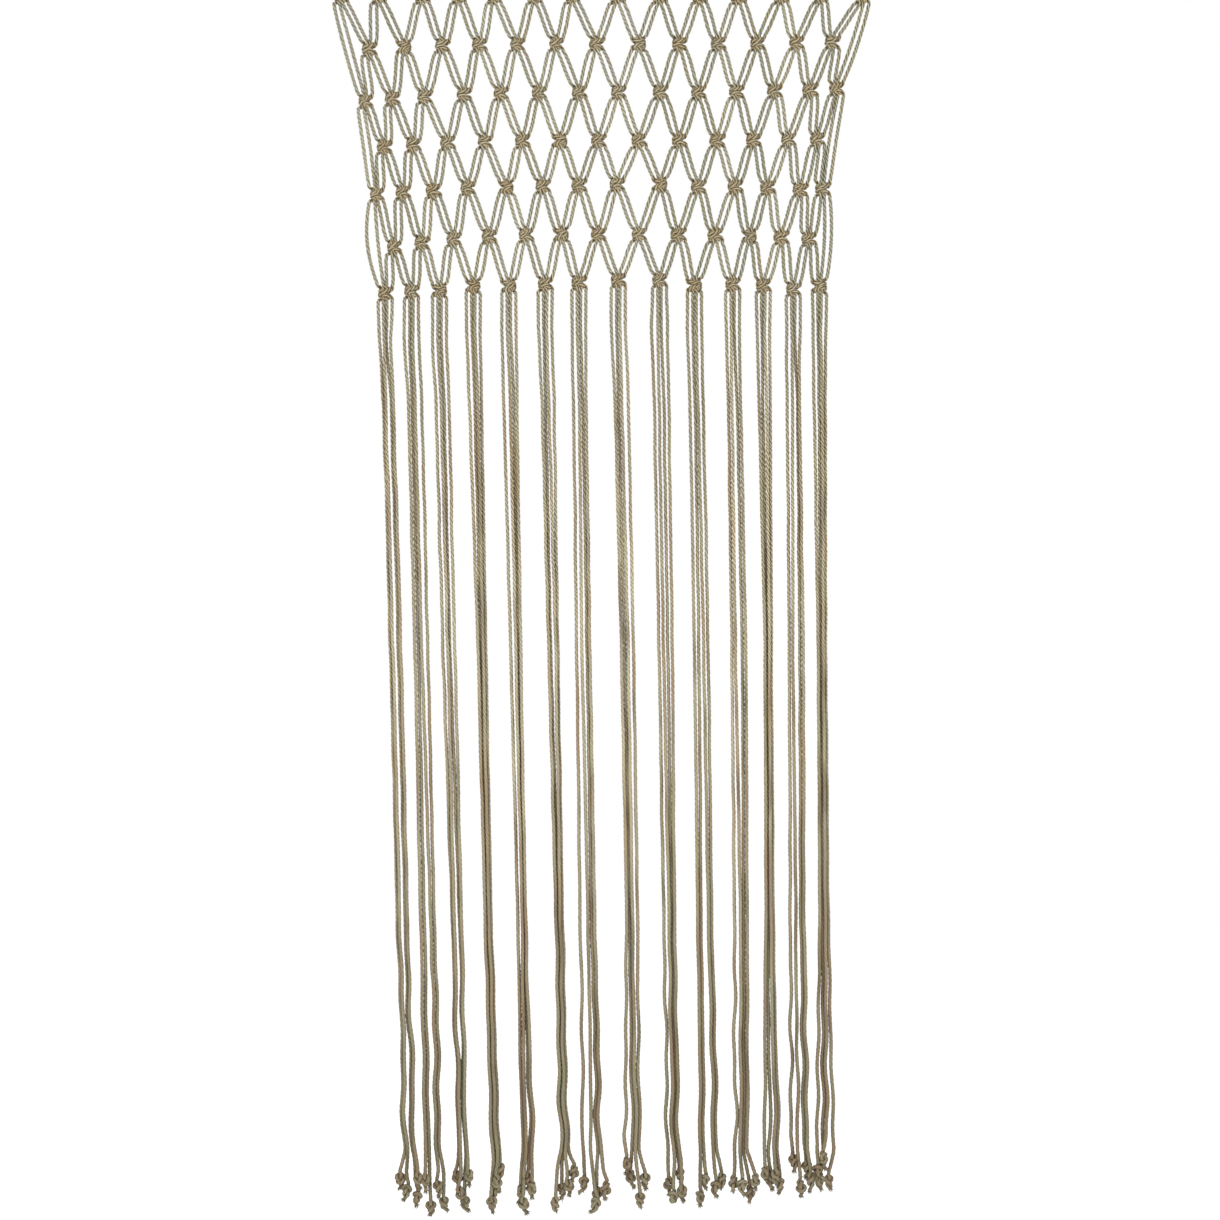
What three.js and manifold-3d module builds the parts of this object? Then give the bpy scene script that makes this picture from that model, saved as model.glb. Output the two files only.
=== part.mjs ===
// A macrame door curtain, hanging flat from its heading loops, front face towards -Y.
// Millimetres, +Z up, +X to the right of someone who looks at the front.
// The origin is the middle of the top edge, where a rod through the loops would carry it.

import * as THREE from 'three';
import { mergeVertices } from 'three/addons/utils/BufferGeometryUtils.js';
import Module from 'manifold-3d';

const wasm = await Module();
wasm.setup();

// The cord and the knots tied from it
const cordDiameter = 5.8;
const knotWidth = 22;
const knotHeight = 18;
const knotEndWidth = 15;
const knotThickness = 14;
const pieceGap = 0.3;

// A pair of cords between two knots, measured from the middle of the knot
const pairInner = 0.25 * cordDiameter;
const pairOuterAtKnot = 1.7 * cordDiameter;
const pairMiddleWidth = 2.8 * cordDiameter;
const pairMiddleShare = 0.55;
const pairThickness = cordDiameter;

// The heading loops that a rod passes through
const loopHoleRadius = 12;
const loopOuterRadius = loopHoleRadius + cordDiameter;
const loopWidth = 4 * cordDiameter;
const loopArcSteps = 6;
const loopCentreDrop = loopOuterRadius;

// A strand group of four cords
const groupThickness = 2 * cordDiameter;
const groupShoulderWidth = 28;
const groupShoulderDrop = 13;
const endKnotZone = 55;
const tipLength = 12;
const tipShare = 0.55;

// Levels below the top edge where the strand groups are measured
const groupLevels = { wide: 693, waist: 1093, slim: 1493, splay: 1893 };

// Rows of square knots, from the top: how far each lies below the top edge, and how much
// further its left and right ends sag
const knotRows = [
  { drop: 47, leftSag: 0, rightSag: 0 },
  { drop: 123, leftSag: 12, rightSag: -4 },
  { drop: 201, leftSag: 19, rightSag: -9 },
  { drop: 278, leftSag: 17, rightSag: -4 },
  { drop: 351, leftSag: 22, rightSag: 8 },
  { drop: 428, leftSag: 41, rightSag: 15 },
  { drop: 508, leftSag: 29, rightSag: 7 },
];

// The 14 strand groups, from the left. x0, x2, x4 and x6 are the places of their knots in the
// even rows, mid, low and end the middle of the hanging group at the waist, slim and splay
// levels, then its widths at the four levels and across its end knots, and how far below the
// top edge its longest tail reaches. lift is how much higher its last knot sits in its row.
const groups = [
  { x0: -418, x2: -379, x4: -361, x6: -347, lift: 2, mid: -330, low: -320, end: -308,
    wide: 22, waist: 23, slim: 22, splay: 22, knots: 34, reach: 1986 },
  { x0: -358, x2: -336, x4: -319, x6: -305, lift: 0, mid: -290, low: -280, end: -270,
    wide: 27, waist: 26, slim: 27, splay: 30, knots: 36, reach: 2000 },
  { x0: -288, x2: -284, x4: -270, x6: -260, lift: -3, mid: -245, low: -233, end: -223,
    wide: 27, waist: 25, slim: 21, splay: 18, knots: 30, reach: 1994 },
  { x0: -230, x2: -221, x4: -215, x6: -206, lift: 1, mid: -192, low: -183, end: -171,
    wide: 25, waist: 18, slim: 15, splay: 16, knots: 25, reach: 1993 },
  { x0: -173, x2: -162, x4: -153, x6: -149, lift: -1, mid: -137, low: -128, end: -119,
    wide: 27, waist: 22, slim: 18, splay: 23, knots: 26, reach: 1994 },
  { x0: -108, x2: -101, x4: -95, x6: -91, lift: 1, mid: -78, low: -69, end: -61,
    wide: 25, waist: 20, slim: 16, splay: 16, knots: 36, reach: 1993 },
  { x0: -48, x2: -37, x4: -37, x6: -37, lift: 3, mid: -29, low: -22, end: -14,
    wide: 26, waist: 27, slim: 29, splay: 33, knots: 44, reach: 1994 },
  { x0: 24, x2: 26, x4: 24, x6: 26, lift: 7, mid: 40, low: 47, end: 50,
    wide: 27, waist: 25, slim: 23, splay: 28, knots: 38, reach: 1986 },
  { x0: 92, x2: 93, x4: 93, x6: 92, lift: 7, mid: 102, low: 108, end: 115,
    wide: 29, waist: 27, slim: 23, splay: 23, knots: 30, reach: 1975 },
  { x0: 156, x2: 154, x4: 154, x6: 148, lift: -1, mid: 159, low: 164, end: 171,
    wide: 27, waist: 28, slim: 28, splay: 32, knots: 42, reach: 1983 },
  { x0: 218, x2: 215, x4: 213, x6: 209, lift: 1, mid: 219, low: 223, end: 224,
    wide: 25, waist: 28, slim: 26, splay: 25, knots: 38, reach: 1978 },
  { x0: 286, x2: 276, x4: 265, x6: 258, lift: 0, mid: 266, low: 268, end: 271,
    wide: 24, waist: 16, slim: 17, splay: 28, knots: 32, reach: 1965 },
  { x0: 349, x2: 333, x4: 317, x6: 306, lift: -5, mid: 311, low: 313, end: 317,
    wide: 25, waist: 28, slim: 27, splay: 32, knots: 38, reach: 1967 },
  { x0: 416, x2: 375, x4: 353, x6: 348, lift: 1, mid: 352, low: 355, end: 357,
    wide: 24, waist: 18, slim: 19, splay: 32, knots: 32, reach: 1961 },
];

// Materials: untreated jute, a little warmer where it is knotted
const jute = new THREE.MeshStandardMaterial({ color: 0x968a6e, roughness: 0.9, metalness: 0 });
const knottedJute = new THREE.MeshStandardMaterial({ color: 0xa0906f, roughness: 0.9, metalness: 0 });

// Solids from three.js geometry, joined and cut
function solidOf(geometry) {
  geometry.deleteAttribute('normal');
  geometry.deleteAttribute('uv');
  const merged = mergeVertices(geometry, 1e-4);
  return new wasm.Manifold(new wasm.Mesh({
    numProp: 3,
    vertProperties: new Float32Array(merged.attributes.position.array),
    triVerts: new Uint32Array(merged.index.array),
  }));
}

function joined(solids) {
  return solids.reduce((whole, solid) => whole.add(solid));
}

function meshOf(name, solid, material) {
  const { vertProperties, triVerts } = solid.getMesh();
  const geometry = new THREE.BufferGeometry();
  geometry.setAttribute('position', new THREE.BufferAttribute(vertProperties, 3));
  geometry.setIndex(new THREE.BufferAttribute(triVerts, 1));
  geometry.computeVertexNormals();
  const mesh = new THREE.Mesh(geometry, material);
  mesh.name = name;
  return mesh;
}

// A slab with its outline in the curtain's plane, x and z, and its thickness along y
function slab(outline, thickness) {
  const shape = new THREE.Shape(outline.map(([x, z]) => new THREE.Vector2(x, z)));
  const geometry = new THREE.ExtrudeGeometry(shape, { depth: thickness, bevelEnabled: false });
  geometry.translate(0, 0, -thickness / 2);
  geometry.rotateX(Math.PI / 2);
  return solidOf(geometry);
}

// Where the knots sit: even rows from the table, odd rows halfway between their four neighbours
function sagAt(row, x) {
  const across = x / Math.abs(groups[0].x0);
  const { leftSag, rightSag } = knotRows[row];
  return across < 0 ? leftSag * Math.abs(across) ** 3 : rightSag * across ** 3;
}

function evenKnots(row) {
  const share = (row / 6) ** 2;
  return groups.map((group) => {
    const x = group[`x${row}`];
    return { x, z: share * group.lift - knotRows[row].drop - sagAt(row, x) };
  });
}

function oddKnots(row) {
  const above = evenKnots(row - 1);
  const below = evenKnots(row + 1);
  return above.slice(1).map((right, i) => {
    const x = (above[i].x + right.x + below[i].x + below[i + 1].x) / 4;
    return { x, z: -knotRows[row].drop - sagAt(row, x) };
  });
}

const knots = knotRows.map((_, row) => (row % 2 === 0 ? evenKnots(row) : oddKnots(row)));

// A square knot: a thick six-sided tablet, widest at its middle
function squareKnot({ x, z }, margin = 0) {
  const w = knotWidth / 2 + margin;
  const e = knotEndWidth / 2 + margin;
  const h = knotHeight / 2 + margin;
  const corners = [[w, 0], [e, h], [-e, h], [-w, 0], [-e, -h], [e, -h]];
  return slab(corners.map(([dx, dz]) => [x + dx, z + dz]), knotThickness + 2 * margin);
}

// Two cords side by side from the bottom of one knot to the top of another.
// side is 1 where they leave towards the right, and -1 towards the left.
function cordPair(upper, lower, side) {
  const inner = side * pairInner;
  const outer = side * pairOuterAtKnot;
  const midX = THREE.MathUtils.lerp(upper.x + outer / 2, lower.x - outer / 2, pairMiddleShare);
  const midZ = THREE.MathUtils.lerp(upper.z, lower.z, pairMiddleShare);
  const outline = [
    [upper.x + inner, upper.z],
    [midX - side * pairMiddleWidth / 2, midZ],
    [lower.x - outer, lower.z],
    [lower.x - inner, lower.z],
    [midX + side * pairMiddleWidth / 2, midZ],
    [upper.x + outer, upper.z],
  ];
  return slab(side > 0 ? outline : outline.reverse(), pairThickness);
}

// The outermost pair on each side, which passes an odd row without a knot
function sidePair(upper, lower, side, bow) {
  const inner = side * pairInner;
  const outer = side * pairOuterAtKnot;
  const midX = (upper.x + lower.x) / 2 + side * (cordDiameter + bow);
  const midZ = (upper.z + lower.z) / 2;
  const outline = [
    [upper.x + inner, upper.z],
    [midX - side * pairMiddleWidth / 2, midZ],
    [lower.x + inner, lower.z],
    [lower.x + outer, lower.z],
    [midX + side * pairMiddleWidth / 2, midZ],
    [upper.x + outer, upper.z],
  ];
  return slab(side > 0 ? outline.reverse() : outline, pairThickness);
}

// A tier is all the pairs between one row of knots and the next
function tier(row) {
  const upper = knots[row - 1];
  const lower = knots[row];
  const pairs = [];
  if (row % 2 === 1) {
    lower.forEach((knot, i) => {
      pairs.push(cordPair(upper[i], knot, 1));
      pairs.push(cordPair(upper[i + 1], knot, -1));
    });
  } else {
    upper.forEach((knot, i) => {
      pairs.push(cordPair(knot, lower[i], -1));
      pairs.push(cordPair(knot, lower[i + 1], 1));
    });
  }
  return pairs;
}

function sidePairs(row, leftBow, rightBow) {
  const upper = knots[row - 2];
  const lower = knots[row];
  return [
    sidePair(upper[0], lower[0], -1, leftBow),
    sidePair(upper.at(-1), lower.at(-1), 1, rightBow),
  ];
}

// A heading loop: the fold of two doubled cords over the place of the rod
function headingLoop({ x, z }) {
  const neck = cordDiameter;
  const neckDrop = z + knotHeight / 4;
  const centre = -loopCentreDrop;
  const over = new THREE.EllipseCurve(0, centre, loopOuterRadius, loopOuterRadius, 0, Math.PI);
  const within = new THREE.EllipseCurve(0, centre, loopHoleRadius, loopHoleRadius, 0, 2 * Math.PI);
  const outline = new THREE.Shape([
    new THREE.Vector2(-neck, neckDrop),
    new THREE.Vector2(neck, neckDrop),
    ...over.getPoints(loopArcSteps),
  ]);
  outline.holes.push(new THREE.Path(within.getPoints(2 * loopArcSteps - 2)));
  const geometry = new THREE.ExtrudeGeometry(outline, { depth: loopWidth, bevelEnabled: false });
  geometry.translate(0, 0, -loopWidth / 2);
  geometry.rotateX(Math.PI / 2);
  geometry.rotateZ(Math.PI / 2);
  geometry.translate(x, 0, 0);
  return solidOf(geometry);
}

// One tooth of the comb: a group of four cords, from its last knot to the tips of its tails
function strandGroup(group, knot) {
  const stations = [
    { z: knot.z, x: knot.x, width: knotWidth / 2 },
    { z: knot.z - groupShoulderDrop, x: knot.x, width: groupShoulderWidth },
    { z: -groupLevels.wide, x: THREE.MathUtils.lerp(knot.x, group.mid, 0.3), width: group.wide },
    { z: -groupLevels.waist, x: group.mid, width: group.waist },
    { z: -groupLevels.slim, x: group.low, width: group.slim },
    { z: -groupLevels.splay, x: group.end, width: group.splay },
    { z: endKnotZone - group.reach, x: group.end, width: group.knots },
    { z: tipLength - group.reach, x: group.end, width: group.knots },
    { z: -group.reach, x: group.end, width: tipShare * group.knots },
  ];
  const left = stations.map(({ x, z, width }) => [x - width / 2, z]);
  const right = stations.map(({ x, z, width }) => [x + width / 2, z]).reverse();
  return slab([...left, ...right], groupThickness);
}

// The three pieces. Where one ends at a knot of the next, it is cut back to leave a gap.
function cutBack(solid, rowOfKnots) {
  return rowOfKnots.reduce((rest, knot) => rest.subtract(squareKnot(knot, pieceGap)), solid);
}

function heading() {
  const whole = joined([
    ...knots[0].map(headingLoop),
    ...knots[0].map((knot) => squareKnot(knot)),
    ...tier(1),
    ...knots[1].map((knot) => squareKnot(knot)),
    ...sidePairs(2, 0, 2),
  ]);
  return cutBack(whole, [knots[2][0], knots[2].at(-1)]);
}

function net() {
  const rows = [2, 3, 4].flatMap((row) => knots[row].map((knot) => squareKnot(knot)));
  const tiers = [2, 3, 4, 5].flatMap(tier);
  const whole = joined([...rows, ...tiers, ...sidePairs(4, -1.5, -2)]);
  return cutBack(whole, [...knots[1], ...knots[5]]);
}

function fringe() {
  const rows = [5, 6].flatMap((row) => knots[row].map((knot) => squareKnot(knot)));
  const teeth = groups.map((group, i) => strandGroup(group, knots[6][i]));
  const whole = joined([...rows, ...tier(6), ...sidePairs(6, 7, 3), ...teeth]);
  return cutBack(whole, [knots[4][0], knots[4].at(-1)]);
}

const curtain = new THREE.Group();
curtain.add(meshOf('heading', heading(), knottedJute));
curtain.add(meshOf('net', net(), knottedJute));
curtain.add(meshOf('fringe', fringe(), jute));

export default curtain;
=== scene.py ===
# %% [markdown]
# # A macrame door curtain
# The real thing is knotted by hand from 28 long jute cords. Each cord is folded in half over
# the place of a rod, so 56 ends hang down. Seven rows of square knots tie them into an open
# net, and under the last row they hang free in 14 groups of four, each end with a small knot.
# This lesson builds it the same way: it works out the path of every cord, ties it through its
# knots, and lays a twisted rope along that path.

# %% Load the frame
import math

import bpy
import numpy as np
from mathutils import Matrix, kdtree


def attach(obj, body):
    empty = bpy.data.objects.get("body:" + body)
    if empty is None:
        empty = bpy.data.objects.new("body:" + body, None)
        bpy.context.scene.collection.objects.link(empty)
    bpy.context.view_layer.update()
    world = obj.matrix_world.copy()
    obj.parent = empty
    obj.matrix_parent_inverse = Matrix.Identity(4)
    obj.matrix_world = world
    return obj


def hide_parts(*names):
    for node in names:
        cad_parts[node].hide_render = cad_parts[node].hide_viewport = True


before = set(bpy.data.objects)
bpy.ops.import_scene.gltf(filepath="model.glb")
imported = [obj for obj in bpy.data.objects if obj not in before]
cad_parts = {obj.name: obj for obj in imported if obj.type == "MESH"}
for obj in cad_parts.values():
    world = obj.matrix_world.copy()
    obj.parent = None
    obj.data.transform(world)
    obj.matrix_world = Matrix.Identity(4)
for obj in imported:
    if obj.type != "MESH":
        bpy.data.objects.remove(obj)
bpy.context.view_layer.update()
print("CAD nodes:", sorted(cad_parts))

# %% [markdown]
# ## Camera
# The photograph looks straight at the front, and cuts off the heading loops at its top edge.
# A short telephoto lens keeps the outer strands from leaning. The distance follows from the
# lens and from how much of the curtain the picture is wide.

# %% Camera
VIEW_WIDTH = 1.952
VIEW_CENTRE_X = 0.0128
VIEW_CENTRE_Z = -1.0294
LENS = 85
SENSOR = 36
FAR_CLIP = 100

camera_data = bpy.data.cameras.new("camera")
camera_data.type = "PERSP"
camera_data.lens = LENS
camera_data.sensor_width = SENSOR
camera_data.clip_end = FAR_CLIP
camera = bpy.data.objects.new("camera", camera_data)
camera_distance = VIEW_WIDTH * LENS / SENSOR
camera.location = (VIEW_CENTRE_X, -camera_distance, VIEW_CENTRE_Z)
camera.rotation_euler = (math.pi / 2, 0, 0)
bpy.context.collection.objects.link(camera)
bpy.context.scene.camera = camera
print("camera is", round(camera_distance, 2), "m in front")

# %% [markdown]
# ## Measures of the work
# A knotter's plan of this curtain fits in two short tables. The first has a row for each row
# of knots: how far it lies below the top edge, and how much further its ends sag. The second
# has a row for each group of strands, from the left: where its knots are, how wide the group
# hangs at four levels, how its four strands part there, and where its four end knots are.

# %% The cord and the rows of knots, in millimetres
CORD = 5.8
MM = 0.001
ROW_COLUMNS = ("drop", "left_sag", "right_sag")
ROWS = [dict(zip(ROW_COLUMNS, row)) for row in (
    (47, 0, 0), (123, 12, -4), (201, 19, -9), (278, 17, -4),
    (351, 22, 8), (428, 41, 15), (508, 29, 7))]
LAST_ROW = len(ROWS) - 1
LEVELS = (693, 1093, 1493, 1893)
print(len(ROWS), "rows of knots")

# %% The groups of strands, in millimetres
# x0, x2, x4 and x6 are the knots of the even rows, and lift is how far the last one is drawn
# up. mid, low and end are the middle of the group at the last three levels, and wide, waist,
# slim and splay its width at all four. reach is how far its tails hang. parting has a word
# for each level: "1|3" means that the first strand hangs apart from the other three, and two
# bars stand for a gap twice as wide. Each end knot is (across from end, below the top).
GROUP_COLUMNS = ("x0", "x2", "x4", "x6", "lift", "mid", "low", "end", "wide", "waist", "slim",
                 "splay", "reach", "parting", "end_knots")
GROUPS = [dict(zip(GROUP_COLUMNS, row)) for row in (
    (-418, -379, -361, -347, 2, -330, -320, -308, 22, 23, 22, 22, 1986,
     "2|2 2|2 2|2 2|2", ((-15, 1940), (-4, 1957), (12, 1969), (14, 1938))),
    (-358, -336, -319, -305, 0, -290, -280, -270, 27, 26, 27, 30, 2000,
     "3|1 3|1 2|2 2|2", ((-12, 1941), (-4, 1985), (8, 1951), (17, 1978))),
    (-288, -284, -270, -260, -3, -245, -233, -223, 27, 25, 21, 18, 1994,
     "1|2|1 1|2|1 2|2 2|2", ((-9, 1937), (-3, 1962), (4, 1978), (10, 1933))),
    (-230, -221, -215, -206, 1, -192, -183, -171, 25, 18, 15, 16, 1993,
     "1|3 4 4 4", ((-5, 1977), (0, 1959), (3, 1943), (8, 1925))),
    (-173, -162, -153, -149, -1, -137, -128, -119, 27, 22, 18, 23, 1994,
     "1|3 1|3 1|3 2|2", ((-11, 1961), (-6, 1978), (1, 1941), (7, 1954))),
    (-108, -101, -95, -91, 1, -78, -69, -61, 25, 20, 16, 16, 1993,
     "3|1 2|2 4 4", ((-14, 1977), (-3, 1957), (8, 1949), (16, 1929))),
    (-48, -37, -37, -37, 3, -29, -22, -14, 26, 27, 29, 33, 1994,
     "1|3 1|1|2 1|3 1||1|2", ((-15, 1946), (4, 1978), (6, 1962), (20, 1954))),
    (24, 26, 24, 26, 7, 40, 47, 50, 27, 25, 23, 28, 1986,
     "3|1 3|1 3|1 1||3", ((-10, 1914), (-4, 1937), (11, 1970), (19, 1941))),
    (92, 93, 93, 92, 7, 102, 108, 115, 29, 27, 23, 23, 1975,
     "4 4 1|3 1|3", ((-8, 1948), (-1, 1967), (10, 1933), (13, 1959))),
    (156, 154, 154, 148, -1, 159, 164, 171, 27, 28, 28, 32, 1983,
     "1|2|1 1|1|1|1 2|2 2|2", ((-14, 1967), (-6, 1941), (10, 1951), (21, 1941))),
    (218, 215, 213, 209, 1, 219, 223, 224, 25, 28, 26, 25, 1978,
     "2|2 2|2 1|3 1|3", ((-13, 1946), (0, 1948), (13, 1962), (21, 1941))),
    (286, 276, 265, 258, 0, 266, 268, 271, 24, 16, 17, 28, 1965,
     "4 4 4 1|1|2", ((-10, 1929), (-1, 1941), (6, 1933), (14, 1948))),
    (349, 333, 317, 306, -5, 311, 313, 317, 25, 28, 27, 32, 1967,
     "1|1|2 2|2 1|1|2 1|1|2", ((-10, 1911), (1, 1951), (11, 1921), (17, 1940))),
    (416, 375, 353, 348, 1, 352, 355, 357, 24, 18, 19, 32, 1961,
     "1|3 4 4 1|2|1", ((-13, 1925), (-8, 1942), (-3, 1905), (6, 1943))))]
print(len(GROUPS), "groups,", 4 * len(GROUPS), "strands")

# %% [markdown]
# ## Where the knots sit
# In an even row each group of four cords has its own knot. In an odd row each knot takes two
# cords from each of two neighbours, so it hangs in the middle of the four knots around it.

# %% Places of the knots
def sag_at(row, x):
    """How far a row hangs lower at x than in its middle."""
    across = x / abs(GROUPS[0]["x0"])
    side = "left_sag" if across < 0 else "right_sag"
    return ROWS[row][side] * abs(across) ** 3


def even_knots(row):
    """Middles of the knots of an even row, one for each group."""
    share = (row / LAST_ROW) ** 2
    return [(g[f"x{row}"], share * g["lift"] - ROWS[row]["drop"] - sag_at(row, g[f"x{row}"]))
            for g in GROUPS]


def odd_knots(row):
    """Middles of the knots of an odd row, between those of the rows above and below."""
    above, below = even_knots(row - 1), even_knots(row + 1)
    middles = [(above[i][0] + above[i + 1][0] + below[i][0] + below[i + 1][0]) / 4
               for i in range(len(GROUPS) - 1)]
    return [(x, -ROWS[row]["drop"] - sag_at(row, x)) for x in middles]


knots = [even_knots(row) if row % 2 == 0 else odd_knots(row) for row in range(len(ROWS))]
print("knots in each row:", [len(row) for row in knots])

# %% [markdown]
# ## Tying a knot
# A square knot is two half knots over two straight filler cords, and its outer cords swap
# sides twice. Drawing it loosely is easy, but pulling it tight is not: the cords must
# touch, and give no more than soft cord gives. So each cord is drawn as a chain of points, and
# the chains are settled: every point is pulled towards the middle of its neighbours, which
# draws the knot tight, and pushed away from any other cord that comes too near.

# %% Smooth paths
SPLINE_STEPS = 16


def even(points, step):
    """The same path in equal steps."""
    lengths = np.linalg.norm(np.diff(points, axis=0), axis=1)
    along = np.r_[0, np.cumsum(lengths)]
    count = max(2, int(round(along[-1] / step)) + 1)
    at = np.linspace(0, along[-1], count)
    return np.stack([np.interp(at, along, points[:, axis]) for axis in range(3)], 1)


def through(points, step):
    """A smooth curve through given points."""
    p = np.array(points, float)
    p = np.vstack([2 * p[0] - p[1], p, 2 * p[-1] - p[-2]])
    t = np.linspace(0, 1, SPLINE_STEPS, endpoint=False)[:, None]
    parts = []
    for a, b, c, d in zip(p, p[1:], p[2:], p[3:]):
        parts.append(0.5 * (2 * b + (c - a) * t + (2 * a - 5 * b + 4 * c - d) * t**2
                            + (3 * b - a - 3 * c + d) * t**3))
    return even(np.vstack([*parts, p[-2][None]]), step)


def smooth(p):
    """Eases a path in place, each point towards its two neighbours."""
    p[1:-1] = 0.25 * p[:-2] + 0.5 * p[1:-1] + 0.25 * p[2:]


def settle(cords, rounds, width, pull, squeeze, own=4, grip=None, still=()):
    """Draws loose cords tight, by pull, and presses the knot together a little, by squeeze.

    Points of different cords keep a width between them, and so do points of one cord that are
    more than own steps apart. The ends, all beyond grip and the still cords stay in place.
    """
    sizes = [len(c) for c in cords]
    cord = np.repeat(np.arange(len(cords)), sizes)
    place = np.concatenate([np.arange(n) for n in sizes])
    held = np.concatenate([np.r_[True, np.zeros(n - 2, bool), True] for n in sizes])
    if grip:
        held |= np.abs(np.vstack(cords)[:, 2]) > grip
    held |= np.isin(cord, still)
    p = np.vstack(cords).copy()
    apart = (cord[:, None] != cord[None]) | (abs(place[:, None] - place[None]) > own)
    inner = np.where(~held)[0]
    for _ in range(rounds):
        middle = (p[inner - 1] + p[inner + 1]) / 2
        p[inner] += pull * (middle - p[inner])
        near = np.clip(1 - (p[inner, 2:] / grip) ** 2, 0, 1) if grip else 1
        p[inner] *= 1 - np.array(squeeze) * near
        for _ in range(3):
            gap = p[:, None] - p[None]
            far = np.linalg.norm(gap, axis=2) + 1e-9
            hit = apart & (far < width)
            shove = np.where(hit, (width - far) / far * 0.5, 0)[:, :, None] * gap
            move = shove.sum(1) / np.maximum(1, hit.sum(1))[:, None] ** 0.5
            move[held] = 0
            p += move
    return np.split(p, np.cumsum(sizes)[:-1])


print("a straight path of 10 in steps of 3:", len(even(np.array([[0, 0, 0], [10, 0, 0.0]]), 3)))

# %% [markdown]
# The points below are in cord widths: x to the right, y towards the viewer and z up. The
# first and last cord are the workers, and the two between them are the fillers. The settled
# knot is turned half round, because the photograph shows its other face.

# %% A square knot
SHOULDER_TOP = 2.0
SHOULDER_LOW = 1.95
FILLER = 0.42
KNOT_REACH = 2.0
KNOT_STEP = 0.22

LOOSE_KNOT = [
    [(-SHOULDER_TOP, 0, KNOT_REACH), (-1.85, .06, 1.5), (-1.4, .45, 1), (-1, .95, .72),
     (-.4, 1.1, .66), (.4, 1.1, .66), (.9, .9, .62), (1.35, .35, .4), (1.5, 0, 0),
     (1.35, .35, -.4), (.9, .9, -.62), (.4, 1.1, -.66), (-.4, 1.1, -.66), (-1, .95, -.72),
     (-1.4, .45, -1), (-1.8, .06, -1.5), (-SHOULDER_LOW, 0, -KNOT_REACH)],
    [(-FILLER, 0, KNOT_REACH), (-FILLER, 0, 1), (-FILLER, 0, -1), (-FILLER, 0, -KNOT_REACH)],
    [(FILLER, 0, KNOT_REACH), (FILLER, 0, 1), (FILLER, 0, -1), (FILLER, 0, -KNOT_REACH)],
    [(SHOULDER_TOP, 0, KNOT_REACH), (1.85, .2, 1.5), (1.5, .85, 1.15), (1.3, 1.25, .8),
     (1.15, 1.3, .35), (.95, .6, 0), (.7, -.6, .15), (.3, -1, .35), (-.3, -1, .45),
     (-.9, -.6, .65), (-1, .2, 1.15), (-1.65, .6, 1.45), (-1.1, 1.55, 1.1),
     (-1.2, 1.85, .5), (-1.25, 1.9, 0), (-1.2, 1.85, -.5), (-1.1, 1.55, -1.1),
     (-1.65, .6, -1.45), (-1, .2, -1.15), (-.9, -.6, -.65), (-.3, -1, -.45),
     (.3, -1, -.35), (.7, -.6, -.15), (1.15, 1.3, -.35), (1.3, 1.25, -.8),
     (1.5, .85, -1.15), (1.8, .2, -1.5), (SHOULDER_LOW, 0, -KNOT_REACH)]]

square_knot = settle([through(c, KNOT_STEP) for c in LOOSE_KNOT], rounds=250, width=0.8,
                     pull=0.25, squeeze=(0.016, 0.014, 0.004), grip=1.9, still=(1, 2))
square_knot = [path * (-1, -1, 1) for path in square_knot[::-1]]
all_points = np.vstack(square_knot)
print("square knot, cord widths:", all_points.min(0).round(2), all_points.max(0).round(2))

# %% An overhand knot for the end of a strand
# Three polynomials draw a curve that is already an overhand knot. Straight ends take the
# place of its first and last points, and it is settled like the square knot.
END_KNOT_REACH = 2.3
END_KNOT_STEP = 0.25
turn = np.linspace(-2.25, 2.25, 60)
loose_end = np.stack([(turn**4 - 4 * turn**2) * 0.5 + 1.0, (turn**5 / 5 - 2 * turn) * 0.85,
                      -(turn**3 - 3 * turn) * 0.75], 1)
loose_end = np.vstack([[0, 0, 6], [0, 0, 5], loose_end[4:-4], [0, 0, -5], [0, 0, -6]])
end_knot = settle([through(loose_end, END_KNOT_STEP)], rounds=900, width=0.92, pull=0.5,
                  squeeze=(0.012, 0.012, 0.004))[0]
inside = np.abs(end_knot[:, 2]) < END_KNOT_REACH
first, last = np.argmax(inside), len(inside) - np.argmax(inside[::-1])
end_knot = end_knot[first:last]
print("end knot, cord widths:", end_knot.min(0).round(2), end_knot.max(0).round(2))

# %% [markdown]
# ## From knot to knot
# Seen from the front the 56 cord ends keep their order from left to right. In an even row
# they are taken in fours, and in an odd row the first and last two pass by outside. Each
# cord is a worker in one row and a filler in the next, so a pair of cords that leaves a knot
# stays two cords wide all the way, and rounds the shoulder of the next knot.

# %% Helpers for the ways between knots
rng = np.random.default_rng(7)
CORDS = 4 * len(GROUPS)
WORKERS = (0, 3)
GRIP_FROM = 1.2


def role_in(cord, row):
    """Which knot of a row a cord goes through, and as which of its four cords."""
    shift = cord - 2 * (row % 2)
    if row % 2 and not 0 <= shift < CORDS - 4:
        return None
    return shift // 4, shift % 4


KNOT_PLACES = [(row, i) for row in range(len(ROWS)) for i in range(len(GROUPS))]
KNOT_TURN = {place: rng.normal(0, 0.07) for place in KNOT_PLACES}
KNOT_FLIP = {place: rng.random() < 0.12 for place in KNOT_PLACES}
KNOT_SIZE = {place: 1 + rng.normal(0, 0.035) for place in KNOT_PLACES}


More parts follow.
